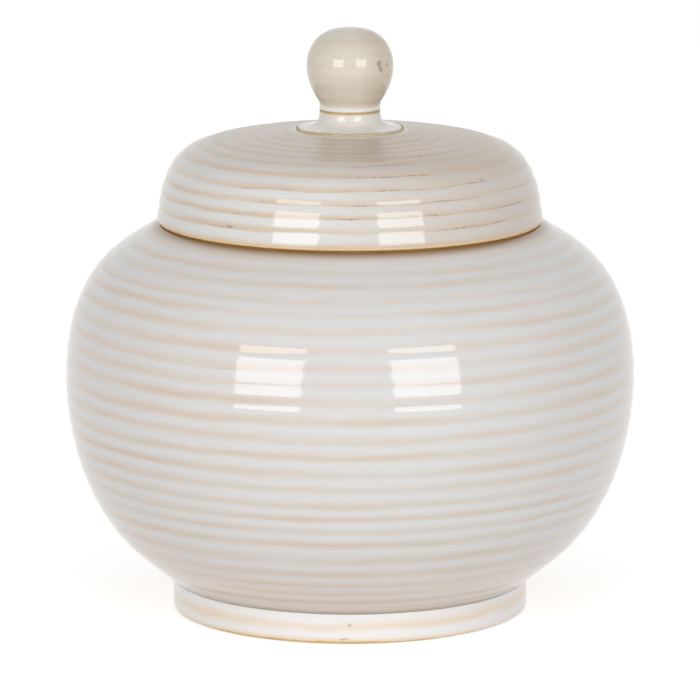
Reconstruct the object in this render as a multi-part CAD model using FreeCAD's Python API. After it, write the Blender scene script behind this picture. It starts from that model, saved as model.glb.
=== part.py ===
import FreeCAD, Part
import os

# A lidded stoneware jar in millimetres. Its axis is the Z axis and it stands on z = 0.
# Every piece is turned on the wheel, so each one is an outline in the XZ plane, revolved about Z.

# Jar: a foot band, a globular belly and a flat ledge round the mouth
foot_radius = 75.0
foot_height = 12.6
foot_wall = 9.0
foot_bevel = 1.6
belly_radius = 120.0
belly_height = 100.0
ledge_height = 164.9
wall_thickness = 6.5
floor_thickness = 8.0

# Throwing rings: a crest every pitch, with a shallow groove between two crests
ring_depth = 0.25
foot_ring_pitch = 5.5
belly_ring_pitch = 7.2
lid_ring_pitch = 6.7

# The insides were smoothed with a broad tool, in wider courses than the rings outside
inside_pitch = 14.0

# Lid: a domed cap whose rim rests on the ledge and reaches a little past it
lid_radius = 81.0
lid_height = 38.7
lid_wall = 5.5
lid_bevel = 1.8
lid_band_height = 1.0
lid_overhang = 1.0

# Neck: a short collar on the ledge, inside the lid, which keeps the lid centred
neck_clearance = 5.5
neck_wall = 6.5
neck_height = 16.0
neck_bevel = 1.8

# Knob: a flared disc with a short stem, and a ball on top
disc_radius = 22.6
disc_edge_height = 0.9
stem_radius = 12.75
stem_height = 8.2
stem_band_height = 1.5
ball_radius = 18.2
ball_height = 34.6

# How far a cut runs past the face that it opens
overrun = 5.0

# The belly's outline below and above its widest line, each point as a share of the way
# from the end's radius to the belly's radius, and from the lower height to the upper one
lower_belly_shares = [
    (0.0, 0.0),
    (0.19, 0.08),
    (0.43, 0.186),
    (0.68, 0.353),
    (0.875, 0.579),
    (0.973, 0.806),
]
upper_belly_shares = [(0.96, 0.273), (0.80, 0.572), (0.54, 0.783), (0.285, 0.897), (0.0, 1.0)]

# The lid's outline: shares of the way from the disc's radius to the lid's, and of the lid's height
lid_shares = [
    (0.988, 0.189),
    (0.973, 0.326),
    (0.941, 0.481),
    (0.885, 0.649),
    (0.807, 0.767),
    (0.683, 0.853),
    (0.332, 0.935),
    (0.0, 1.0),
]

# The middle of the cove from disc to stem: shares of the step in radius and in height
cove_shares = (0.17, 0.36)

# The ball's side as shares of its radius and height, for arcs of three points that share their ends
ball_shares = [
    (0.806, 0.173),
    (0.943, 0.341),
    (1.0, 0.535),
    (0.971, 0.671),
    (0.818, 0.836),
    (0.565, 0.943),
]

# Sizes worked out from the ones above
floor_height = foot_height + floor_thickness
ledge_radius = lid_radius - lid_overhang
neck_radius = lid_radius - lid_wall - neck_clearance
mouth_radius = neck_radius - neck_wall
neck_top = ledge_height + neck_height
crown_height = ledge_height + lid_height
stem_top = crown_height + stem_height
ball_top = stem_top + ball_height


def spot(radius, height):
    return FreeCAD.Vector(radius, 0, height)


def lines(points):
    return [Part.makeLine(start, end) for start, end in zip(points, points[1:])]


def arcs(points):
    # one arc through each three points, the last of one being the first of the next
    starts = range(0, len(points) - 2, 2)
    return [Part.Arc(points[start], points[start + 1], points[start + 2]).toShape() for start in starts]


def cap_arc(edge, top):
    # an arc that ends level on the axis, so that it turns into the cap of a sphere
    rise = top - edge.z
    radius = (edge.x**2 + rise**2) / (2 * rise)
    half_way = edge.x / 2
    fall = radius - (radius**2 - half_way**2) ** 0.5
    return Part.Arc(edge, spot(half_way, top - fall), spot(0, top)).toShape()


def smooth(points):
    curve = Part.BSplineCurve()
    curve.interpolate(points)
    return curve.toShape()


def turned(edges):
    face = Part.Face(Part.Wire(edges))
    return face.revolve(spot(0, 0), FreeCAD.Vector(0, 0, 1), 360)


def outward(edge, point):
    # square to an outline that runs upward, away from the axis
    tangent = edge.tangentAt(edge.Curve.parameter(point))
    return FreeCAD.Vector(tangent.z, 0, -tangent.x)


def ringed(edge, pitch):
    # crests lie on the outline at an even pitch, and each groove lies a ring's depth inside it
    courses = max(1, round(edge.Length / pitch))
    points = edge.discretize(Number=2 * courses + 1)
    crests = points[0::2]
    grooves = [point - outward(edge, point) * ring_depth for point in points[1::2]]
    rings = [point for pair in zip(crests, grooves) for point in pair]
    return rings + crests[-1:]


def inset(edge, thickness):
    # the inside of a wall: the outline moved in by the wall's thickness, in broad courses
    courses = max(1, round(edge.Length / inside_pitch))
    points = edge.discretize(Number=courses + 1)
    return [point - outward(edge, point) * thickness for point in points]


def belly_outline():
    lower = [
        spot(
            foot_radius + (belly_radius - foot_radius) * across,
            foot_height + (belly_height - foot_height) * up,
        )
        for across, up in lower_belly_shares
    ]
    upper = [
        spot(
            ledge_radius + (belly_radius - ledge_radius) * across,
            belly_height + (ledge_height - belly_height) * up,
        )
        for across, up in upper_belly_shares
    ]
    return smooth(lower + [spot(belly_radius, belly_height)] + upper)


def lid_outline():
    start = spot(lid_radius, ledge_height + lid_bevel + lid_band_height)
    points = [
        spot(
            disc_radius + (lid_radius - disc_radius) * across,
            ledge_height + lid_height * up,
        )
        for across, up in lid_shares
    ]
    return smooth([start] + points)


def foot_ring():
    # a straight band with two rings, its standing edge turned to a bevel on both sides
    inner = foot_radius - foot_wall
    band = Part.makeLine(spot(foot_radius, foot_bevel), spot(foot_radius, foot_height))
    outline = ringed(band, foot_ring_pitch) + [
        spot(inner, foot_height),
        spot(inner, foot_bevel),
        spot(inner + foot_bevel, 0),
        spot(foot_radius - foot_bevel, 0),
        spot(foot_radius, foot_bevel),
    ]
    return turned(lines(outline))


def jar_wall():
    # a full vessel with its rings, less the hollow above the floor, less the mouth
    belly = belly_outline()
    skin = [spot(0, foot_height)] + ringed(belly, belly_ring_pitch) + [spot(0, ledge_height)]
    vessel = turned(lines(skin + skin[:1]))
    inside = inset(belly, wall_thickness)
    core = [spot(0, inside[0].z)] + inside + [spot(0, inside[-1].z)]
    hollow = turned(lines(core + core[:1]))
    above_floor = Part.makeCylinder(belly_radius, ledge_height, spot(0, floor_height))
    mouth = Part.makeCylinder(mouth_radius, ledge_height, spot(0, floor_height + overrun))
    return vessel.cut(hollow.common(above_floor)).cut(mouth)


def neck_collar():
    # an upright collar on the ledge, its lip turned to a bevel on both sides
    outline = [
        spot(mouth_radius, ledge_height),
        spot(neck_radius, ledge_height),
        spot(neck_radius, neck_top - neck_bevel),
        spot(neck_radius - neck_bevel, neck_top),
        spot(mouth_radius + neck_bevel, neck_top),
        spot(mouth_radius, neck_top - neck_bevel),
        spot(mouth_radius, ledge_height),
    ]
    return turned(lines(outline))


def lid_cap():
    # a ringed dome with a flat seat for the knob, hollow below, on a flat rim that is bevelled outside
    dome = lid_outline()
    hollow = inset(dome, lid_wall)
    rim_radius = lid_radius - lid_bevel
    outline = [spot(rim_radius, ledge_height), spot(lid_radius, ledge_height + lid_bevel)]
    outline += ringed(dome, lid_ring_pitch)
    outline += [spot(0, crown_height), spot(0, hollow[-1].z)]
    outline += hollow[::-1]
    outline += [spot(hollow[0].x, ledge_height), spot(rim_radius, ledge_height)]
    return turned(lines(outline))


def knob_foot():
    # a thin disc that sweeps up in a cove to a short stem
    disc_top = spot(disc_radius, crown_height + disc_edge_height)
    stem_start = spot(stem_radius, stem_top - stem_band_height)
    cove_middle = spot(
        stem_start.x + (disc_top.x - stem_start.x) * cove_shares[0],
        disc_top.z + (stem_start.z - disc_top.z) * cove_shares[1],
    )
    below = [spot(0, stem_top), spot(0, crown_height), spot(disc_radius, crown_height), disc_top]
    above = [stem_start, spot(stem_radius, stem_top), spot(0, stem_top)]
    return turned(lines(below) + arcs([disc_top, cove_middle, stem_start]) + lines(above))


def knob_ball():
    # a ball drawn in to the stem below, and a little flattened on top
    side = [spot(ball_radius * across, stem_top + ball_height * up) for across, up in ball_shares]
    start = spot(stem_radius, stem_top + stem_band_height)
    neck = lines([spot(0, stem_top), spot(stem_radius, stem_top), start])
    cap = cap_arc(side[-1], ball_top)
    axis = Part.makeLine(spot(0, ball_top), spot(0, stem_top))
    return turned(neck + arcs([start] + side) + [cap, axis])


pieces = {
    "foot_ring": foot_ring,
    "jar_wall": jar_wall,
    "neck_collar": neck_collar,
    "lid_cap": lid_cap,
    "knob_foot": knob_foot,
    "knob_ball": knob_ball,
}

os.makedirs("parts", exist_ok=True)
for name, make in pieces.items():
    piece = make()
    piece.exportStep(os.path.join("parts", name + ".step"))
    print(name, len(piece.Solids), "solid", round(piece.Volume / 1000, 1), "cm3", piece.isValid())
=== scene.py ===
import math

import bmesh
import bpy
import numpy as np
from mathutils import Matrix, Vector


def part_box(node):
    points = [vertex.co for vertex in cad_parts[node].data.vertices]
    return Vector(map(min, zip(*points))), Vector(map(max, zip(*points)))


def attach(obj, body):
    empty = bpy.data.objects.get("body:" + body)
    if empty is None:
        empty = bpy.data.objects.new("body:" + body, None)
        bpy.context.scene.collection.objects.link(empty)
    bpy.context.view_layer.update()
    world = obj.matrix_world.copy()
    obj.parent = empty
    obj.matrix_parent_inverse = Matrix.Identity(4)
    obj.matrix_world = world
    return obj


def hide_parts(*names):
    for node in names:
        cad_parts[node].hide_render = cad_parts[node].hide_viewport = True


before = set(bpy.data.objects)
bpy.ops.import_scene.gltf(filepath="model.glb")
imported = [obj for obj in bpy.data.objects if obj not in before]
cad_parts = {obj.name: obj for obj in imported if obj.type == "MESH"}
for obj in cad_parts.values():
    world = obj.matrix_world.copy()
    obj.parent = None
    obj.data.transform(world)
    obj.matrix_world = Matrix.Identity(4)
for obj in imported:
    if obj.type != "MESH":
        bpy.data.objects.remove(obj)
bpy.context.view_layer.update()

mm = 0.001
print("frame loaded:", ", ".join(sorted(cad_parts)))


# Colours and nodes

def linearColour(hexText):
    # sRGB hex to the linear red, green, blue and alpha that a shader takes
    channels = [int(hexText[i : i + 2], 16) / 255 for i in (1, 3, 5)]
    linear = [c / 12.92 if c <= 0.04045 else ((c + 0.055) / 1.055) ** 2.4 for c in channels]
    return (*linear, 1.0)


def emptyTree(owner):
    # the node tree of a material or a world, with nothing in it
    owner.use_nodes = True
    owner.node_tree.nodes.clear()
    return owner.node_tree


def addNode(tree, kind, sockets=None, stops=None, **settings):
    # one node with its settings, the stops of its ramp, and what its sockets take: a value, an output,
    # or another node, which stands for the first of its outputs that is in use
    node = tree.nodes.new("ShaderNode" + kind)
    for setting, value in settings.items():
        setattr(node, setting, value)
    for place, (position, colour) in enumerate(stops or []):
        ramp = node.color_ramp.elements
        stop = ramp[place] if place < 2 else ramp.new(position)
        stop.position = position
        stop.color = linearColour(colour) if isinstance(colour, str) else (colour, colour, colour, 1.0)
    for key, value in (sockets or {}).items():
        socket = [s for i, s in enumerate(node.inputs) if key in (i, s.identifier, s.name)][0]
        if isinstance(value, bpy.types.Node):
            value = [output for output in value.outputs if output.enabled][0]
        if isinstance(value, bpy.types.NodeSocket):
            tree.links.new(value, socket)
        else:
            socket.default_value = value
    return node


# Outlines, in mm: each point is a radius and a height

def distances(line):
    # how far along the line each of its points lies
    return np.concatenate([[0], np.cumsum(np.hypot(*np.diff(line, axis=0).T))])


def outwardFrom(line):
    # square to the line, and away from the axis where it runs upward
    across, up = np.gradient(line[:, 0]), np.gradient(line[:, 1])
    length = np.maximum(np.hypot(across, up), 1e-9)  # never zero, where points lie on each other
    return np.column_stack([up / length, -across / length])


def evenSteps(points, step):
    # the same line with its points at even steps
    points = np.array(points, float)
    along = distances(points)
    places = np.linspace(0, along[-1], max(2, round(along[-1] / step) + 1))
    return np.column_stack([np.interp(places, along, points[:, i]) for i in (0, 1)])


def betweenSpots(shares, start, end):
    # points at shares of the way from one spot to another, across and up
    width, rise = end[0] - start[0], end[1] - start[1]
    return [(start[0] + width * across, start[1] + rise * up) for across, up in shares]


def smoothLine(points, step):
    # a cubic spline with free ends through the points
    points = np.array(points, float)
    gaps = np.hypot(*np.diff(points, axis=0).T)
    knots = distances(points)
    system = np.eye(len(points))
    pull = np.zeros((len(points), 2))
    for i in range(1, len(points) - 1):
        system[i, i - 1 : i + 2] = gaps[i - 1], 2 * (gaps[i - 1] + gaps[i]), gaps[i]
        leave = (points[i + 1] - points[i]) / gaps[i]
        arrive = (points[i] - points[i - 1]) / gaps[i - 1]
        pull[i] = 6 * (leave - arrive)
    bend = np.linalg.solve(system, pull)
    finePoints = 60 * len(points)  # close enough that the even steps lie on the curve
    t = np.linspace(0, knots[-1], finePoints)
    i = np.clip(np.searchsorted(knots, t, side="right") - 1, 0, len(gaps) - 1)
    b = ((t - knots[i]) / gaps[i])[:, None]
    a = 1 - b
    square = (gaps[i] ** 2)[:, None] / 6
    curve = ((a**3 - a) * bend[i] + (b**3 - b) * bend[i + 1]) * square
    return evenSteps(a * points[i] + b * points[i + 1] + curve, step)


def easedLine(corners, step):
    # straight runs between corners of (radius, height, ease), each corner rounded over its ease;
    # the two ends have no ease
    arcPoints = 9
    line = [np.array(corners[0][:2], float)]
    for before, corner, after in zip(corners, corners[1:], corners[2:]):
        at = np.array(corner[:2], float)
        back = np.array(before[:2]) - at
        on = np.array(after[:2]) - at
        start = at + back / np.hypot(*back) * corner[2]
        end = at + on / np.hypot(*on) * corner[2]
        for t in np.linspace(0, 1, arcPoints):
            line.append((1 - t) ** 2 * start + 2 * t * (1 - t) * at + t**2 * end)
    line.append(np.array(corners[-1][:2], float))
    return evenSteps(line, step)


def joined(*lines):
    # stretches of one outline, each starting where the one before ended
    return np.concatenate([lines[0]] + [line[1:] for line in lines[1:]])


# Turning on the wheel

wheel = {
    "sides": 256,
    "waver": 0.22,  # mm that a ring rises and falls on its way round
    "outOfRound": 0.10,  # mm that a wall is pressed in here and there
    # waves of both: how many in a turn, how large a share, and how far they twist on the way up
    "waverWaves": [(2, 1.0, 9), (5, 0.6, -14)],
    "pressWaves": [(2, 0.6, 2), (3, 0.4, -3)],
    "grooveShare": 0.24,  # how far below the middle of a peach band its groove lies, in rings
    "grooveEase": 0.3,  # how far the glaze softens the bottom of a groove
    "unevenDepth": 0.25,  # the share by which one ring is deeper or shallower than the next
    "spareRings": 9,  # how many rings the count goes on below the first band and above the last
    "wholeFrom": 1.0,  # mm past the last ring, from where the glaze is whole
    "seamGap": 0.001,  # mm within which doubled points become one
    "bareLimit": 20.0,  # mm from the edge of the glaze, beyond which nothing changes
}


def waves(kinds, starts, angle, share):
    # smooth waves round the wheel, which twist on the way up
    total = 0
    for (count, size, twist), start in zip(kinds, starts):
        total = total + size * np.sin(count * angle + start + twist * share)
    return total


def ridgeShape(ringCount):
    # 0 in a groove and 1 on the round ridge between two grooves
    wave = np.sin(np.pi * (ringCount + wheel["grooveShare"]))
    ease = wheel["grooveEase"]
    return (np.sqrt(wave**2 + ease**2) - ease) / (math.sqrt(1 + ease**2) - ease)


def throwingRings(rings, along, radius, angle):
    # the count of rings at every point, and how many mm the wall is pressed in there
    dice = np.random.default_rng(rings["seed"])
    lobes = dice.uniform(0, 2 * math.pi, 6)
    start, end = rings["start"], rings["end"]
    share = np.clip((along - start) / (end - start), 0, 1)[:, None]
    tilt = rings["leanLow"] + (rings["leanHigh"] - rings["leanLow"]) * share
    lean = tilt * np.outer(radius, np.cos(angle))
    place = along[:, None] + lean + wheel["waver"] * waves(wheel["waverWaves"], lobes, angle, share)

    spare = wheel["spareRings"]
    bands = np.array(rings["bands"])
    last = len(bands)
    lowest = bands[0] - spare * (bands[1] - bands[0])
    highest = bands[-1] + spare * (bands[-1] - bands[-2])
    counts = [1.0 - spare, *range(1, last + 1), last + spare]
    ringCount = np.interp(place, [lowest, *bands, highest], counts)
    ringCount[along > end + wheel["wholeFrom"]] = last + 0.5

    onRings = np.clip(np.minimum(along - start, end - along) / rings["fade"], 0, 1)[:, None]
    lowDepth, highDepth = 1 - wheel["unevenDepth"], 1 + wheel["unevenDepth"]
    shares = rings.get("shares", dice.uniform(lowDepth, highDepth, last))
    uneven = np.interp(ringCount, np.arange(last) + 1.0, shares)
    hollow = rings["depth"] * uneven * (1 - ridgeShape(ringCount))
    lobe = 1 + waves(wheel["pressWaves"], lobes[2:], angle, share)
    return ringCount, onRings * (hollow + wheel["outOfRound"] * lobe / 2)


def turnOnWheel(name, outline, bareFrom, rings=None, poolsAndLights=()):
    # a closed mesh turned about the Z axis, with what its material reads at each point:
    # ring: 1, 2, 3 in the middle of the peach bands, counted upward
    # wheelPlace: where it is on the wheel, as if it lay on a straight tube as wide as the piece
    # bare: mm past the line where the glaze ends, or less than zero where there is glaze
    # pool and painted light: how thick the glaze pooled, up to 1, round each (place along the outline, width)
    # of the pools, which in creases also lifts their shade
    radius, height = outline.T
    along = distances(outline)
    angle = np.arange(wheel["sides"]) * 2 * math.pi / wheel["sides"]
    ringCount = np.full((len(outline), wheel["sides"]), 0.5)
    press = np.zeros_like(ringCount)
    if rings:
        ringCount, press = throwingRings(rings, along, radius, angle)

    outward = outwardFrom(outline)
    r = (radius[:, None] - outward[:, :1] * press) * mm
    z = (height[:, None] - outward[:, 1:] * press) * mm
    points = np.stack([r * np.cos(angle), r * np.sin(angle), z], axis=-1)
    rows, sides = r.shape
    corner = np.arange(rows * sides).reshape(rows, sides)
    nextSide = np.roll(corner, -1, axis=1)
    faces = np.stack([corner[:-1], nextSide[:-1], nextSide[1:], corner[1:]], axis=-1).reshape(-1, 4)
    mesh = bpy.data.meshes.new(name)
    mesh.from_pydata(points.reshape(-1, 3).tolist(), [], faces.tolist())

    bare = np.clip(bareFrom(outline, along), -wheel["bareLimit"], wheel["bareLimit"])
    pooledAndLit = [np.exp(-(((along - middle) / width) ** 2)) for middle, width in poolsAndLights]
    poolAndLight = np.max([np.zeros_like(along)] + pooledAndLit, axis=0)
    for attribute, values in {"ring": ringCount, "poolAndLight": poolAndLight[:, None], "bare": bare[:, None]}.items():
        spread = np.broadcast_to(values, r.shape).ravel()
        mesh.attributes.new(attribute, "FLOAT", "POINT").data.foreach_set("value", spread)
    tube = radius.max() * mm
    wheelPlace = np.broadcast_arrays(tube * np.cos(angle), tube * np.sin(angle), along[:, None] * mm)
    spread = np.stack(wheelPlace, axis=-1).ravel()
    mesh.attributes.new("wheelPlace", "FLOAT_VECTOR", "POINT").data.foreach_set("vector", spread)

    # the outline's ends meet on the axis or each other, so their doubled points become one
    work = bmesh.new()
    work.from_mesh(mesh)
    ends = [v for v in work.verts if v.index < sides or v.index >= (rows - 1) * sides]
    bmesh.ops.remove_doubles(work, verts=ends, dist=wheel["seamGap"] * mm)
    bmesh.ops.recalc_face_normals(work, faces=work.faces)
    work.to_mesh(mesh)
    work.free()
    mesh.polygons.foreach_set("use_smooth", [True] * len(mesh.polygons))
    piece = bpy.data.objects.new(name, mesh)
    bpy.context.scene.collection.objects.link(piece)
    return piece


def finishPiece(piece, material, body, node):
    piece.data.materials.append(material)
    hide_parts(node)
    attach(piece, body)
    print("made", piece.name, len(piece.data.polygons), "faces")


# Materials

firing = {
    # the patterns in the glaze and the clay: mm along a ring, mm across it, and how fine the detail is
    "drift": (26, 5, 2.0),
    "cloud": (60, 12, 2.0),
    "thinness": (75, 7, 2.0),
    "dash": (2.6, 5, 4.0),
    "stretch": (34, 6, 1.5),
    "mottle": (2.2, 1.6, 3.0),
    "smudge": (1.8, 1.8, 3.0),
    "edge": (14, 8, 2.0),
    "peel": (4, 4, 1.0),
    "trimming": (300, 1.5, 2.0),
    # between which values of its noise, which runs from 0 to 1, a pattern goes from none to full
    "cloudSpan": (0.35, 0.65),
    "thinnessSpan": (0.3, 0.7),
    "mottleSpan": (0.35, 0.75),
    "driftRings": 0.4,  # how far a peach band wanders, in rings
    "facingFrom": 0.3,  # the cosine of about 70 degrees
    "dashRange": 0.25,  # how gently a brown line breaks up into dashes
    "dashLeast": 0.3,  # what stays of it between the dashes
    "lineRange": 0.15,  # how gently it starts and ends
    "speckCell": 12.0,  # mm: there is at most one iron speck in a cell of this size
    "speckCore": 0.216,  # mm from its middle to where it fades
    "speckEdge": 0.54,
    "speckShare": 0.6,
    "speckColour": "#7d6a58",
    "smudgeSpread": 2.4,  # how ragged a smudge is
    "smudgeFull": 1.5,
    "smudgeEnd": 2.1,
    "smudgeColour": "#85705c",
    "edgeBlur": 0.12,  # mm on each side of the line where the glaze ends
    "grain": 3.0,  # mm: sand in the clay is finer, but would not show
    "trimmingShare": 0.45,
    "clayRoughness": 0.62,
    "refraction": 1.54,  # that of a stoneware glaze
}


def glazedStoneware(name, look):
    # Stoneware thrown on a wheel and dipped in an off-white glaze. In the kiln the glaze ran off the
    # underside of every ring, where the warm clay shows through as peach, and it stayed thick and white on
    # top of the next one. The surface is glossy, its rings break up the reflections, and the clay is matt
    # and golden where the glaze was wiped off.
    material = bpy.data.materials.new(name)
    tree = emptyTree(material)
    where = addNode(tree, "TexCoord").outputs["Object"]
    place = addNode(tree, "Attribute", attribute_name="wheelPlace").outputs["Vector"]
    ring = addNode(tree, "Attribute", attribute_name="ring").outputs["Fac"]
    bare = addNode(tree, "Attribute", attribute_name="bare").outputs["Fac"]
    poolAndLight = addNode(tree, "Attribute", attribute_name="poolAndLight").outputs["Fac"]
    shift = look["shift"]

    def wheelNoise(pattern, shift):
        # noise that runs with the rings, as large as the pattern and moved on by the shift
        alongRing, acrossRing, detail = firing[pattern]
        sizes = (1 / (alongRing * mm), 1 / (alongRing * mm), 1 / (acrossRing * mm))
        scaled = addNode(tree, "VectorMath", {0: place, 1: sizes}, operation="MULTIPLY")
        moved = addNode(tree, "VectorMath", {0: scaled, 1: (shift, shift, shift)}, operation="ADD")
        return addNode(tree, "TexNoise", {"Vector": moved, "Scale": 1.0, "Detail": detail})

    # a band wanders a little, and its place runs from 0 at half a ring below it to 1 at half a ring above
    wander = firing["driftRings"]
    wandering = addNode(tree, "Math", {0: wheelNoise("drift", shift), 1: wander, 2: ring},
        operation="MULTIPLY_ADD")
    halfOn = addNode(tree, "Math", {0: wandering, 1: 0.5 - wander / 2})
    bandPlace = addNode(tree, "Math", {0: halfOn}, operation="FRACT")
    thin = addNode(tree, "ValToRGB", {"Fac": bandPlace}, stops=look["bandStops"])
    thin.color_ramp.interpolation = "EASE"

    flat = addNode(tree, "VectorMath", {0: place, 1: (1, 1, 0)}, operation="MULTIPLY")
    level = addNode(tree, "VectorMath", {0: flat}, operation="NORMALIZE")

    def towards(turn):
        # 1 where the wall faces that many degrees to the right of the front, and 0 past 70 degrees from there
        ahead = (math.sin(math.radians(turn)), -math.cos(math.radians(turn)), 0)
        facing = addNode(tree, "VectorMath", {0: level, 1: ahead}, operation="DOT_PRODUCT")
        return addNode(tree, "MapRange", {"Value": facing, "From Min": firing["facingFrom"], "From Max": 1.0})

    # it was dipped at a slant, so there is less glaze on one side, at the top and near the foot; the darker
    # top of the lid is also painted shade, as its top catches less light
    side = towards(look["thinSide"])
    height = addNode(tree, "SeparateXYZ", {0: place}).outputs["Z"]
    above = addNode(tree, "MapRange", {"Value": height, "From Min": look["thinAndShadedTopFrom"] * mm,
        "From Max": look["thinAndShadedTopTo"] * mm})
    below = addNode(tree, "MapRange", {"Value": height, "From Min": look["footTo"] * mm,
        "From Max": look["footFrom"] * mm})
    none, full = firing["cloudSpan"]
    cloud = addNode(tree, "MapRange", {"Value": wheelNoise("cloud", shift + 15), "From Min": none,
        "From Max": full, "To Min": -0.5, "To Max": 0.5})
    veil = look["clouds"]
    for cause, share in ((side, "thinSideShare"), (above, "thinAndShadedTopShare"), (below, "thinFootShare"),
            (cloud, "clouds")):
        veil = addNode(tree, "Math", {0: cause, 1: look[share], 2: veil}, operation="MULTIPLY_ADD")
    veil.use_clamp = True

    none, full = firing["thinnessSpan"]
    strength = addNode(tree, "MapRange", {"Value": wheelNoise("thinness", shift + 3), "From Min": none,
        "From Max": full, "To Min": look["peachLeast"], "To Max": look["peachMost"]})
    strength = addNode(tree, "Math", {0: side, 1: look["peachSide"], 2: strength}, operation="MULTIPLY_ADD")
    peach = addNode(tree, "Math", {0: thin, 1: strength}, operation="MULTIPLY")
    colour = addNode(tree, "ValToRGB", {"Fac": peach}, stops=look["glazeStops"])

    # a fine brown line in some of the grooves, where the glaze crawled off the iron in the clay
    line = addNode(tree, "ValToRGB", {"Fac": bandPlace}, stops=look["lineStops"])
    dashes = addNode(tree, "MapRange", {"Value": wheelNoise("dash", shift + 7), "From Min": look["dashFrom"],
        "From Max": look["dashFrom"] + firing["dashRange"], "To Min": firing["dashLeast"], "To Max": 1.0})
    lined = addNode(tree, "Math", {0: towards(look["lineTurn"]), 1: look["lineSide"],
        2: wheelNoise("stretch", shift + 11)}, operation="MULTIPLY_ADD")
    stretch = addNode(tree, "MapRange", {"Value": lined, "From Min": look["lineFrom"],
        "From Max": look["lineFrom"] + firing["lineRange"]})
    broken = addNode(tree, "Math", {0: dashes, 1: stretch}, operation="MULTIPLY")
    broken = addNode(tree, "Math", {0: broken, 1: line}, operation="MULTIPLY")

    # iron specks up to 1 mm across, one at most in a cell of 12 mm and in one cell of eleven
    cell = firing["speckCell"]
    cells = addNode(tree, "TexVoronoi", {"Vector": place, "Scale": 1 / (cell * mm)})
    spot = addNode(tree, "MapRange", {"Value": cells.outputs["Distance"],
        "From Min": firing["speckCore"] / cell, "From Max": firing["speckEdge"] / cell,
        "To Min": firing["speckShare"], "To Max": 0.0})
    chosen = addNode(tree, "Math", {0: cells.outputs["Color"], 1: look["speckFrom"]},
        operation="GREATER_THAN")
    speck = addNode(tree, "Math", {0: spot, 1: chosen}, operation="MULTIPLY")

    # fine mottling, as the melt never mixed fully, and whiter glaze where it pooled in a corner, which in the
    # corner above the foot and round the knob's disc is also painted light that lifts the shade of the crease
    none, full = firing["mottleSpan"]
    mottle = addNode(tree, "MapRange", {"Value": wheelNoise("mottle", shift + 31), "From Min": none,
        "From Max": full, "To Min": 0.0, "To Max": look["mottle"]})
    pooledAndLit = addNode(tree, "Math", {0: poolAndLight, 1: look["poolAndLightShare"]}, operation="MULTIPLY")

    # smudges of iron, each at its place on the piece in mm and as wide and high as it is in mm
    smudges = []
    ragged = wheelNoise("smudge", 3.0)
    for centre, wide, high, share in look["smudges"]:
        middle = [value * mm for value in centre]
        sizes = (1 / (wide * mm), 1 / (wide * mm), 1 / (high * mm))
        offset = addNode(tree, "VectorMath", {0: where, 1: middle}, operation="SUBTRACT")
        offset = addNode(tree, "VectorMath", {0: offset, 1: sizes}, operation="MULTIPLY")
        far = addNode(tree, "VectorMath", {0: offset}, operation="LENGTH")
        far = addNode(tree, "Math", {0: ragged, 1: firing["smudgeSpread"], 2: far}, operation="MULTIPLY_ADD")
        smudges.append(addNode(tree, "MapRange", {"Value": far, "From Min": firing["smudgeFull"],
            "From Max": firing["smudgeEnd"], "To Min": share, "To Max": 0.0},
            interpolation_type="SMOOTHSTEP"))

    # towards its edge the glaze is toasted brown, which round the lid's rim on the jar's shoulder is also
    # painted shade under the lid, and past the edge the clay is bare
    wiped = addNode(tree, "Math", {0: side, 1: look["edgeSide"], 2: bare}, operation="MULTIPLY_ADD")
    toastAndShade = addNode(tree, "MapRange", {"Value": wiped, "From Min": -look["toastAndShadeWidth"], "From Max": 0.0},
        interpolation_type="SMOOTHSTEP")
    wave = look["edgeWave"]
    wavy = addNode(tree, "Math", {0: wheelNoise("edge", 5.0), 1: wave, 2: wiped}, operation="MULTIPLY_ADD")
    bareMask = addNode(tree, "MapRange", {"Value": wavy, "From Min": wave / 2 - firing["edgeBlur"],
        "From Max": wave / 2 + firing["edgeBlur"]}, interpolation_type="SMOOTHSTEP")

    layers = [(veil, look["veilColour"]), (broken, look["lineColour"]), (speck, firing["speckColour"]),
        (mottle, look["veilColour"]), (pooledAndLit, look["poolAndLightColour"])]
    layers += [(smudge, firing["smudgeColour"]) for smudge in smudges]
    layers += [(toastAndShade, look["toastAndShadeColour"])]
    for mask, tint in layers:
        colour = addNode(tree, "Mix", {"Factor_Float": mask, "A_Color": colour,
            "B_Color": linearColour(tint)}, data_type="RGBA")

    # sandy clay, with the rings that the trimming tool left every 1.5 mm or so
    grain = addNode(tree, "TexNoise", {"Vector": where, "Scale": 1 / (firing["grain"] * mm), "Detail": 4.0})
    trimmed = addNode(tree, "Mix", {"Factor_Float": firing["trimmingShare"], "A_Float": grain,
        "B_Float": wheelNoise("trimming", 9.0)})
    clay = addNode(tree, "ValToRGB", {"Fac": trimmed}, stops=look["clayStops"])
    colour = addNode(tree, "Mix", {"Factor_Float": bareMask, "A_Color": colour, "B_Color": clay},
        data_type="RGBA")

    glazeRough = addNode(tree, "Math", {0: above, 1: look["roughTop"], 2: look["glazeRoughness"]},
        operation="MULTIPLY_ADD")
    rough = addNode(tree, "Mix", {"Factor_Float": bareMask, "A_Float": glazeRough,
        "B_Float": firing["clayRoughness"]})
    # the glaze levelled in the kiln all but a faint orange peel
    peel = addNode(tree, "Bump", {"Height": wheelNoise("peel", 2.0), "Strength": 1.0,
        "Distance": look["peel"] * mm})
    shader = addNode(tree, "BsdfPrincipled", {"Base Color": colour, "Roughness": rough,
        "IOR": firing["refraction"], "Normal": peel})
    addNode(tree, "OutputMaterial", {"Surface": shader})
    return material


bareClay = [(0.3, "#d9b98a"), (0.7, "#ecd2a8")]  # sanded golden stoneware, lighter where it was rubbed

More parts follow.
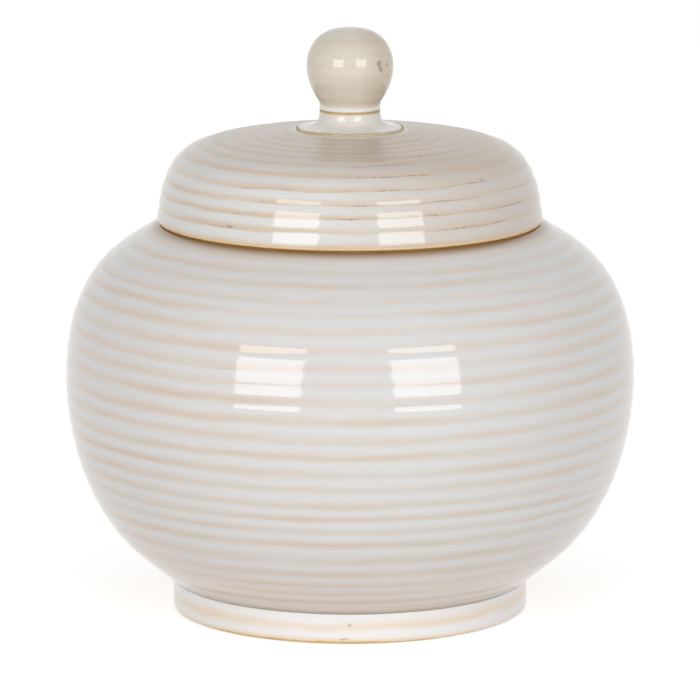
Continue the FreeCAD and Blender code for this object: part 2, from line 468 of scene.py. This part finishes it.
# soft peach stripes under a wet, off-white gloss
jarGlaze = {
    "shift": 0.0,
    "bandStops": [(0.0, 0.0), (0.03, 0.0), (0.42, 1.0), (0.96, 0.0), (1.0, 0.0)],
    "glazeStops": [(0.0, "#dcddde"), (0.5, "#d9d0c7"), (1.0, "#d4beaa")],
    "peachLeast": 0.25,
    "peachMost": 0.75,
    "peachSide": 0.15,
    "thinSide": -60.0,  # degrees round from the front, to the right
    "thinSideShare": 0.04,
    "thinAndShadedTopFrom": 240.0,  # mm along the outline
    "thinAndShadedTopTo": 290.0,
    "thinAndShadedTopShare": 0.4,
    "footFrom": 80.0,
    "footTo": 125.0,
    "thinFootShare": 0.38,
    "clouds": 0.06,
    "veilColour": "#dfcbbc",
    "mottle": 0.08,
    "lineStops": [(0.0, 0.0), (0.18, 0.0), (0.25, 1.0), (0.34, 0.0), (1.0, 0.0)],
    "lineColour": "#c4a585",
    "dashFrom": 0.36,
    "lineTurn": -30.0,  # degrees round to where most of the lines are
    "lineSide": 0.05,
    "lineFrom": 0.72,
    "speckFrom": 0.8,
    # whiter pooled glaze, also painted light where it fills a crease
    "poolAndLightShare": 0.7,
    "poolAndLightColour": "#e6e6e4",
    "smudges": [],
    "peel": 0.003,  # mm, the depth of the glaze's orange peel
    "roughTop": 0.0,  # how much rougher the glaze is where it is thin on top
    # on the shoulder round the lid's rim the brown is toasted glaze and painted shade of the lid
    "toastAndShadeWidth": 7.0,
    "toastAndShadeColour": "#94703f",
    "edgeWave": 0.6,
    "edgeSide": 0.0,  # mm more wiped off on the thin side
    "clayStops": bareClay,
    "glazeRoughness": 0.06,
}

# the same dip run thinner: stronger peach, duller and darker on top, where the dark is also painted shade,
# with fine brown lines on the front right
lidGlaze = {
    **jarGlaze,
    "shift": 21.0,
    "bandStops": [(0.0, 0.0), (0.14, 0.0), (0.38, 1.0), (0.86, 0.0), (1.0, 0.0)],
    "glazeStops": [(0.0, "#e0e2e1"), (0.5, "#dbcdbe"), (1.0, "#d2b698")],
    "peachLeast": 0.4,
    "peachMost": 0.85,
    "peachSide": -0.1,
    "thinSide": 65.0,
    "thinSideShare": 0.5,
    # darker and browner towards the top: thinner glaze, and painted shade where the lid's top catches less
    # light
    "thinAndShadedTopFrom": 28.0,
    "thinAndShadedTopTo": 50.0,
    "thinAndShadedTopShare": 0.62,
    "roughTop": 0.22,
    "thinFootShare": 0.0,
    "clouds": 0.1,
    "veilColour": "#c9b8a7",
    "mottle": 0.12,
    "lineStops": [(0.0, 0.0), (0.25, 0.0), (0.31, 1.0), (0.34, 1.0), (0.4, 0.0), (1.0, 0.0)],
    "lineColour": "#8f6a4c",
    "dashFrom": 0.45,
    "lineTurn": 20.0,
    "lineSide": 0.3,
    "lineFrom": 0.69,
    "smudges": [
        ((36.3, -12.7, 201.6), 1.2, 1.0, 0.6),
        ((45.9, -33.4, 198.8), 1.0, 1.0, 0.5),
        ((54.1, -50.9, 190.1), 0.8, 0.8, 0.6),
        ((-49.4, -63.2, 172.8), 2.6, 0.8, 0.5),
    ],
    "poolAndLightColour": "#e9e7e2",
    "toastAndShadeWidth": 0.6,
    "toastAndShadeColour": "#dcbb92",
    "edgeWave": 0.9,
}

# the foot took the glaze twice: nearly white, with one peach stripe and a golden standing edge
footGlaze = {
    **jarGlaze,
    "shift": 40.0,
    "bandStops": [(0.0, 0.0), (0.06, 0.0), (0.48, 1.0), (0.92, 0.0), (1.0, 0.0)],
    "glazeStops": [(0.0, "#f2f2f3"), (0.5, "#f1e9e1"), (1.0, "#efdec9")],
    "peachLeast": 0.5,
    "peachMost": 0.95,
    "thinSide": -18.0,
    "thinSideShare": 0.0,
    "thinAndShadedTopShare": 0.0,
    "thinFootShare": 0.0,
    "clouds": 0.03,
    "mottle": 0.04,
    "lineFrom": 0.8,
    "smudges": [((-0.3, -75, 8.2), 0.8, 0.8, 0.5), ((-2.5, -75, 2.1), 2.5, 0.5, 0.8)],
    "toastAndShadeWidth": 2.3,
    "toastAndShadeColour": "#ecd9bf",
    "edgeWave": 1.4,
    "edgeSide": 1.6,
    "clayStops": [(0.3, "#d6b06f"), (0.7, "#e6c58c")],  # golden where the foot was trimmed last
}

# inside the lid the neck was wiped almost bare, so that the two don't stick together in the kiln
neckGlaze = {
    **footGlaze,
    "edgeSide": 0.0,
    "toastAndShadeWidth": 0.8,
    "clayStops": bareClay,
}

# a thin coat over grey clay: grey-beige and mottled, with three smudges of iron on the right
knobGlaze = {
    **jarGlaze,
    "shift": 60.0,
    "glazeStops": [(0.0, "#e2dcd0"), (0.5, "#ddd5c5"), (1.0, "#d6cab5")],
    "peachLeast": 0.0,
    "peachMost": 0.5,
    "thinSide": 85.0,
    "thinSideShare": 0.35,
    "thinAndShadedTopShare": 0.0,
    "thinFootShare": 0.0,
    "clouds": 0.2,
    "veilColour": "#c0ac92",
    "mottle": 0.15,
    "lineFrom": 0.9,
    "poolAndLightColour": "#ebe9e5",
    "poolAndLightShare": 0.85,
    "smudges": [
        ((12.0, -13.2, 233.2), 1.6, 1.8, 0.6),
        ((12.9, -12.8, 230.5), 1.5, 1.9, 0.5),
        ((15.4, -9.3, 232.2), 1.3, 1.9, 0.5),
    ],
    "peel": 0.001,
    "toastAndShadeWidth": 0.7,
    "toastAndShadeColour": "#c9a36c",
    "edgeWave": 0.3,
    "clayStops": [(0.3, "#a88150"), (0.7, "#cda26c")],  # iron brown where the glaze broke on an edge
}

# the knob's glaze run down to its foot, where it is thicker and paler
stemGlaze = {
    **knobGlaze,
    "glazeStops": [(0.0, "#e6e2db"), (0.5, "#e0d7cc"), (1.0, "#d6c5af")],
    "thinSideShare": 0.1,
    "clouds": 0.1,
    "smudges": [],
    "toastAndShadeColour": "#c4b189",
    "edgeWave": 2.4,
    "clayStops": [(0.3, "#a58f62"), (0.7, "#d2bb8c")],  # the same edge, more olive on the disc
}


# Where the pieces lie, in mm, each by the low and the high corner of its box

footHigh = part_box("foot_ring")[1] / mm
wallLow, wallHigh = (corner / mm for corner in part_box("jar_wall"))
lidLow, lidHigh = (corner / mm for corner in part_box("lid_cap"))
neckLow, neckHigh = (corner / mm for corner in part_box("neck_collar"))
discLow, discHigh = (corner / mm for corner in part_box("knob_foot"))
ballLow, ballHigh = (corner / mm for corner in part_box("knob_ball"))
lidOverhang = 1.0
ledgeRadius = lidHigh.x - lidOverhang
discRadius = 22.6  # of the knob's flared disc and of the flat place on the lid that it stands on
sharpEase = 0.01  # for a corner that is hidden and left sharp


# The jar: wall, foot band and neck collar

jarWall = {
    "bellyHeight": 100.0,
    "lowerShares": [(0.0, 0.0), (0.19, 0.08), (0.43, 0.186), (0.68, 0.353), (0.875, 0.579), (0.973, 0.806)],
    "upperShares": [(0.96, 0.273), (0.80, 0.572), (0.54, 0.783), (0.285, 0.897), (0.0, 1.0)],
    "wall": 6.5,
    "floor": 8.0,
    "mouthRadius": 63.5,
    "mouthEase": 1.5,
    "mouthUnderEase": 1.0,
    "shoulderEase": 3.0,
    "shoulderWide": 6.0,  # how far the shoulder is flat inside, before it turns down
    "shoulderDrop": 1.0,  # how far below the flat part it has turned down
    "insideEase": 6.0,
    "cornerWide": 5.0,  # how far in from the wall the floor's corner starts
    # the heights of the peach bands, one to a ring, which the thrower spaced a little unevenly
    "bandHeights": [15.4, 19.6, 24.4, 28.9, 34.7, 41.7, 49.8, 55.3, 61.2, 67.0, 73.9, 80.8, 87.8, 95.0, 102.4,
        110.9, 117.3, 123.9, 130.9, 137.7, 143.9, 148.5, 153.9, 158.1],
    "ringDepth": 0.15,
    "bareMargin": 2.0,  # mm from the ledge and from the foot to where the inside and the outside are glazed
    "cornerPoolAndLight": 4.0,  # mm of thicker, whiter glaze in the corner above the foot, also painted light against the shade in that crease
    "insidePool": 130.0,  # the inside was glazed by pouring, so it is thick and white
    "insideMiddle": 180.0,  # mm past the ledge
    "step": 0.85,
    "ledgeStep": 0.8,
    "shoulderStep": 1.0,
    "floorStep": 2.0,
    "underStep": 3.0,
}


def makeJarWall(shape):
    low, high = wallLow.z, wallHigh.z
    belly = shape["bellyHeight"]
    footRadius, bellyRadius = footHigh.x, wallHigh.x
    points = betweenSpots(shape["lowerShares"], (footRadius, low), (bellyRadius, belly))
    points += [(bellyRadius, belly)]
    points += betweenSpots(shape["upperShares"], (ledgeRadius, belly), (bellyRadius, high))
    outer = smoothLine(points, shape["step"])

    inner = outer - outwardFrom(outer) * shape["wall"]
    mouth = shape["mouthRadius"]
    floorTop, ceiling = low + shape["floor"], high - shape["wall"]
    upright = (inner[:, 1] > floorTop + shape["insideEase"]) & (inner[:, 1] < ceiling - shape["shoulderDrop"])
    inner = inner[upright][::-1]
    ledge = easedLine([(ledgeRadius, high), (mouth, high, shape["mouthEase"]),
        (mouth, ceiling, shape["mouthUnderEase"]), (inner[0][0] - shape["shoulderWide"], ceiling)],
        shape["ledgeStep"])
    shoulder = easedLine([ledge[-1], (inner[0][0], ceiling, shape["shoulderEase"]), inner[0]],
        shape["shoulderStep"])
    floorCorner = (inner[-1][0] - shape["cornerWide"], floorTop, shape["insideEase"])
    floor = easedLine([inner[-1], floorCorner, (0, floorTop)], shape["floorStep"])
    under = evenSteps([(0, low), (footRadius, low)], shape["underStep"])
    outline = joined(under, outer, ledge, shoulder, inner[::4], floor)

    start = footRadius
    outerAlong = start + distances(outer)
    end = outerAlong[-1]
    rings = {
        "bands": np.interp(shape["bandHeights"], outer[:, 1], outerAlong),
        "start": start,
        "end": end,
        "fade": 2.0,
        "depth": shape["ringDepth"],
        "leanLow": -0.008,
        "leanHigh": 0.004,
        "seed": 4,
    }

    def bareFrom(line, along):
        # bare on the ledge and under the floor: the glaze ends under the lid's rim, toasted brown, and the
        # brown on the shoulder round the rim is also painted shade of the lid
        ledgeEnd = end + ledgeRadius - mouth + shape["bareMargin"]
        onLedge = np.minimum(along - end, ledgeEnd - along)
        underFloor = start - shape["bareMargin"] - along
        return np.maximum(onLedge, underFloor)

    poolsAndLights = [(start, shape["cornerPoolAndLight"]), (end + shape["insideMiddle"], shape["insidePool"])]
    return turnOnWheel("jarWall", outline, bareFrom, rings, poolsAndLights)


footBand = {
    "wall": 9.0,
    "edgeEase": 1.8,
    "bandHeights": [-0.5, 7.4, 16.5],
    "ringDepth": 0.07,
    "glazeStart": -0.5,  # mm above the table, and more where it was wiped off on the thin side
    "bareInside": 5.0,
    "step": 0.35,
    "insideStep": 1.0,
}


def makeFootBand(shape):
    outer, inner, top = footHigh.x, footHigh.x - shape["wall"], footHigh.z
    middle, ease = (outer + inner) / 2, shape["edgeEase"]
    outside = easedLine([(middle, 0), (outer, 0, ease), (outer, top)], shape["step"])
    inside = easedLine([(outer, top), (inner, top, sharpEase), (inner, 0, ease), (middle, 0)],
        shape["insideStep"])
    outsideAlong = distances(outside)
    risen = np.argmax(outside[:, 1] > ease)
    rings = {
        "bands": np.array(shape["bandHeights"]) + outsideAlong[risen] - outside[risen, 1],
        "start": outsideAlong[risen],
        "end": outsideAlong[-1] + 1,
        "fade": 1.0,
        "depth": shape["ringDepth"],
        "leanLow": -0.008,
        "leanHigh": -0.008,
        "seed": 9,
    }

    def bareFrom(line, along):
        # the standing edge and everything inside the band is bare
        isOutside = (line[:, 0] > middle) & (along <= outsideAlong[-1])
        return np.where(isOutside, shape["glazeStart"] - line[:, 1], shape["bareInside"])

    return turnOnWheel("footBand", joined(outside, inside), bareFrom, rings)


neckCollar = {
    "wall": 6.5,
    "lipEase": 2.4,
    "lipBare": 2.0,  # mm past the middle of the lip that the wiping reached
    "lipSlope": 1.5,
    "step": 0.6,
}


def makeNeckCollar(shape):
    outer, inner = neckHigh.x, neckHigh.x - shape["wall"]
    low, high = neckLow.z, neckHigh.z
    middle, ease = (outer + inner) / 2, shape["lipEase"]
    outline = easedLine([(middle, low), (outer, low, sharpEase), (outer, high, ease), (inner, high, ease),
        (inner, low, sharpEase), (middle, low)], shape["step"])

    def bareFrom(line, along):
        # the outside is wiped bare where the lid goes over it, and the inside is glazed from the lip down
        return (line[:, 0] - middle) * shape["lipSlope"] + shape["lipBare"]

    return turnOnWheel("neckCollar", outline, bareFrom)


finishPiece(makeJarWall(jarWall), glazedStoneware("stoneware with pooled off-white glaze", jarGlaze),
    "jar", "jar_wall")
finishPiece(makeFootBand(footBand), glazedStoneware("stoneware with thick white glaze", footGlaze),
    "jar", "foot_ring")
finishPiece(makeNeckCollar(neckCollar), glazedStoneware("stoneware wiped bare for the lid", neckGlaze),
    "jar", "neck_collar")


# The lid: cap, knob foot and knob ball

lidCap = {
    "shares": [(0.988, 0.189), (0.973, 0.326), (0.941, 0.481), (0.885, 0.649), (0.807, 0.767), (0.683, 0.853),
        (0.332, 0.935), (0.0, 1.0)],
    "rimHeight": 2.8,
    "rimWide": 4.0,
    "seatWide": (2.6, 1.6),  # mm in from the rim's edge between which it rises off the ledge
    "seatEase": 0.3,
    "rimGap": 0.5,  # mm between the rim's outer edge and the ledge: it only sits on its inner edge
    "rimEase": 0.8,
    "wall": 5.5,
    # how far along the outline from the top of the rim each peach band lies
    "bands": [-0.5, 6.0, 11.6, 17.6, 23.6, 30.8, 38.4, 46.0, 53.5, 60.5, 67.5, 74.5],
    "ringDepth": 0.2,
    "ringShares": [0.6, 1.3, 0.5, 1.35, 1.1, 0.9, 1.0, 0.8, 1.0, 0.9, 0.8, 0.6],
    "ringsFrom": -1.2,  # mm from the top of the rim
    "glazeHeight": 1.5,  # mm above the ledge
    "bareInside": 9.0,  # mm of the inside that are wiped bare above the rim
    # a ring of whiter pooled glaze round the knob's disc, partly a painted highlight and painted light in
    # that crease
    "poolAndLightPlace": -0.5,  # mm from where the dome meets the knob's disc
    "poolAndLightWidth": 2.0,
    "step": 0.45,
    "rimStep": 0.25,
    "crownStep": 2.0,
    "ceilingStep": 3.0,
    "insideStep": 0.6,
}


def makeLidCap(shape):
    low, high, width = lidLow.z, lidHigh.z, lidHigh.x
    domePoints = [(width, low + shape["rimHeight"])]
    domePoints += betweenSpots(shape["shares"], (discRadius, low), (width, high))
    dome = smoothLine(domePoints, shape["step"])
    rimInside, edge = width - shape["rimWide"], low + shape["rimGap"]
    seatStart, seatEnd = (width - wide for wide in shape["seatWide"])
    rim = easedLine([(rimInside, low), (seatStart, low, shape["seatEase"]),
        (seatEnd, edge, shape["seatEase"]), (width, edge, shape["rimEase"]), dome[0]], shape["rimStep"])
    crown = evenSteps([dome[-1], (0, high)], shape["crownStep"])
    inner = (dome - outwardFrom(dome) * shape["wall"])[::-1]
    ceiling = evenSteps([(0, inner[0][1]), inner[0]], shape["ceilingStep"])
    inside = easedLine([inner[-1], (width - shape["wall"], low, shape["rimEase"]), (rimInside, low)],
        shape["insideStep"])
    downAxis = np.array([(0, high), (0, inner[0][1])])
    outline = joined(rim, dome, crown, downAxis, ceiling, inner[::4], inside)

    rimLength = distances(rim)[-1]
    domeEnd = rimLength + distances(dome)[-1]
    rings = {
        "bands": rimLength + np.array(shape["bands"]),
        "start": rimLength + shape["ringsFrom"],
        "end": domeEnd,
        "fade": 1.5,
        "depth": shape["ringDepth"],
        "shares": shape["ringShares"],
        "leanLow": -0.007,
        "leanHigh": -0.003,
        "seed": 12,
    }

    def bareFrom(line, along):
        # the rim that sits on the ledge is bare, outside and in
        glazed = -wheel["bareLimit"]
        outside = np.where(along < rimLength + 1, low + shape["glazeHeight"] - line[:, 1], glazed)
        inside = along - (along[-1] - shape["bareInside"])
        return np.where(along < domeEnd + discRadius, outside, inside)

    poolsAndLights = [(domeEnd + shape["poolAndLightPlace"], shape["poolAndLightWidth"])]
    return turnOnWheel("lidCap", outline, bareFrom, rings, poolsAndLights)


knobFoot = {
    "stemRadius": 12.75,
    "edgeHeight": 0.9,
    "edgeEases": (0.3, 0.35),
    "edgeUnder": 2.0,  # mm in from the edge, where the flat underside ends
    "edgeDrop": 0.1,  # mm that the edge's top corner lies below the start of the cove
    "edgeWide": 0.5,  # mm from the disc's edge to where the cove starts
    "coveShares": [(1.0, 0.0), (0.62, 0.05), (0.34, 0.15), (0.16, 0.29), (0.06, 0.47), (0.01, 0.72),
        (0.0, 0.9)],
    "seamWidth": 0.45,  # mm of the brown line below the ball
    "edgeBare": 0.1,
    "edgeSlope": 0.5,
    "poolAndLightPlace": 4.0,  # mm in from the disc's edge
    "poolAndLightWidth": 2.5,
    "step": 0.4,
    "edgeStep": 0.15,
    "underStep": 3.0,
    "topStep": 2.0,
}


def makeKnobFoot(shape):
    low, high = discLow.z, discHigh.z
    stem, edgeTop = shape["stemRadius"], low + shape["edgeHeight"]
    lowEase, topEase = shape["edgeEases"]
    coveStart = (discRadius - shape["edgeWide"], high)
    covePoints = betweenSpots(shape["coveShares"], (stem, edgeTop), coveStart) + [(stem, high)]
    cove = smoothLine(covePoints, shape["step"])
    under = evenSteps([(0, low), (discRadius - shape["edgeUnder"], low)], shape["underStep"])
    edgeCorner = (discRadius, edgeTop - shape["edgeDrop"], topEase)
    edge = easedLine([under[-1], (discRadius, low, lowEase), edgeCorner, cove[0]], shape["edgeStep"])
    top = evenSteps([(stem, high), (0, high)], shape["topStep"])
    discEnd = discRadius + shape["edgeHeight"]

    def bareFrom(line, along):
        # the glaze runs thin on the disc's edge and breaks at the neck
        atNeck = along - (along[-1] - stem - shape["seamWidth"])
        fromEdge = np.abs(along - discEnd + shape["edgeDrop"])
        atEdge = shape["edgeBare"] - shape["edgeSlope"] * fromEdge
        return np.maximum(atNeck, atEdge)

    poolsAndLights = [(discEnd + shape["poolAndLightPlace"], shape["poolAndLightWidth"])]
    return turnOnWheel("knobFoot", joined(under, edge, cove, top), bareFrom, None, poolsAndLights)


knobBall = {
    "sideShares": [(0.70, 0.0), (0.70, 0.045), (0.716, 0.10), (0.806, 0.173), (0.86, 0.23), (0.943, 0.341),
        (1.0, 0.535), (0.971, 0.671), (0.90, 0.765), (0.818, 0.836), (0.565, 0.943), (0.28, 0.988),
        (0.0, 1.0)],
    "bandHeights": [216.3, 221.5, 226.8, 232.0, 237.0, 241.5],
    "ringDepth": 0.015,
    "plainTop": 8.0,  # mm without rings round the top
    "seamWidth": 0.1,
    "poolAndLightPlace": 1.2,  # mm above the seam
    "poolAndLightWidth": 1.1,
    "step": 0.5,
    "underStep": 2.0,
}


def makeKnobBall(shape):
    low, high = ballLow.z, ballHigh.z
    side = smoothLine(betweenSpots(shape["sideShares"], (0, low), (ballHigh.x, high)), shape["step"])
    under = evenSteps([(0, low), side[0]], shape["underStep"])
    sideAlong = side[0][0] + distances(side)
    seam = sideAlong[0]
    rings = {
        "bands": np.interp(shape["bandHeights"], side[:, 1], sideAlong),
        "start": seam,
        "end": sideAlong[-1] - shape["plainTop"],
        "fade": 4.0,
        "depth": shape["ringDepth"],
        "leanLow": 0.0,
        "leanHigh": 0.01,
        "seed": 3,
    }

    def bareFrom(line, along):
        # a thin line of clay right at the seam
        return seam + shape["seamWidth"] - along

    poolsAndLights = [(seam + shape["poolAndLightPlace"], shape["poolAndLightWidth"])]
    return turnOnWheel("knobBall", joined(under, side), bareFrom, rings, poolsAndLights)


finishPiece(makeLidCap(lidCap), glazedStoneware("stoneware with broken off-white glaze", lidGlaze),
    "lid", "lid_cap")
finishPiece(makeKnobFoot(knobFoot), glazedStoneware("stoneware with pale beige glaze", stemGlaze),
    "lid", "knob_foot")
finishPiece(makeKnobBall(knobBall), glazedStoneware("stoneware with mottled grey-beige glaze", knobGlaze),
    "lid", "knob_ball")


# The studio: floor, background, two softboxes and the camera

studio = {
    "floorSize": 6.0,
    "floorHeight": -0.0002,  # a hair below the foot
    "floorColour": "#f4f3f1",
    "floorGlow": 0.51,  # what the floor adds for the eye, so that it is white around its shadow
    "worldLevel": 0.515,
    "boxDistance": 2.6,
    "boxTurns": {"softboxLeft": -32.6, "softboxRight": 30.6},  # degrees round from the camera
    "boxRise": 13.0,
    "boxWide": 27.0,  # degrees that a box spans, as the jar sees it
    "boxHigh": 25.0,
    "boxLevel": 4.1,  # how bright a box is, where a white surface in plain light is 1
    "aimHeight": 0.12,
    "cameraDistance": 2.374,
    "cameraHeight": 0.5592,
    "cameraPitch": -10.73,
    "lens": 294.7,
    "clipEnd": 20,
}
white = (1, 1, 1, 1)


def seenDirectly(tree):
    # 1 for the camera and for what it sees in gloss and glass, which show the white background too
    path = addNode(tree, "LightPath")
    seen = path.outputs["Is Camera Ray"]
    for ray in ("Is Glossy Ray", "Is Transmission Ray"):
        seen = addNode(tree, "Math", {0: seen, 1: path.outputs[ray]}, operation="MAXIMUM")
    return seen


def makeFloor(plan):
    bpy.ops.mesh.primitive_plane_add(size=plan["floorSize"], location=(0, 0, plan["floorHeight"]))
    floor = bpy.context.object
    floor.name = "studioFloor"
    # matt paper: no reflections, only a soft shadow under the foot
    paper = bpy.data.materials.new("matt white backdrop paper")
    tree = emptyTree(paper)
    glow = addNode(tree, "Math", {0: seenDirectly(tree), 1: plan["floorGlow"]}, operation="MULTIPLY")
    sheet = addNode(tree, "BsdfDiffuse", {"Color": linearColour(plan["floorColour"])})
    light = addNode(tree, "Emission", {"Color": white, "Strength": glow})
    both = addNode(tree, "AddShader", {0: sheet, 1: light})
    addNode(tree, "OutputMaterial", {"Surface": both})
    floor.data.materials.append(paper)


def makeWorld(plan):
    world = bpy.data.worlds.new("studio")
    bpy.context.scene.world = world
    tree = emptyTree(world)
    level = addNode(tree, "MapRange", {"Value": seenDirectly(tree), "To Min": plan["worldLevel"],
        "To Max": 1.0})
    background = addNode(tree, "Background", {"Color": white, "Strength": level})
    addNode(tree, "OutputWorld", {"Surface": background})


def makeSoftboxes(plan):
    width, height = (
        2 * plan["boxDistance"] * math.tan(math.radians(plan[span] / 2)) for span in ("boxWide", "boxHigh")
    )
    for name, boxTurn in plan["boxTurns"].items():
        lamp = bpy.data.lights.new(name, "AREA")
        lamp.shape = "RECTANGLE"
        lamp.size, lamp.size_y = width, height
        lamp.energy = plan["boxLevel"] * math.pi * width * height
        box = bpy.data.objects.new(name, lamp)
        turn, rise = math.radians(boxTurn), math.radians(plan["boxRise"])
        away = Vector((math.sin(turn) * math.cos(rise), -math.cos(turn) * math.cos(rise), math.sin(rise)))
        box.location = Vector((0, 0, plan["aimHeight"])) + away * plan["boxDistance"]
        box.rotation_euler = away.to_track_quat("Z", "Y").to_euler()
        box.visible_camera = False
        bpy.context.scene.collection.objects.link(box)


def makeCamera(plan):
    camera = bpy.data.objects.new("camera", bpy.data.cameras.new("camera"))
    camera.location = (0, -plan["cameraDistance"], plan["cameraHeight"])
    camera.rotation_euler = (math.radians(90 + plan["cameraPitch"]), 0, 0)
    camera.data.lens = plan["lens"]
    camera.data.clip_end = plan["clipEnd"]
    bpy.context.scene.collection.objects.link(camera)
    bpy.context.scene.camera = camera


makeFloor(studio)
makeWorld(studio)
makeSoftboxes(studio)
makeCamera(studio)
bpy.context.scene.view_settings.view_transform = "Standard"
print("studio set")
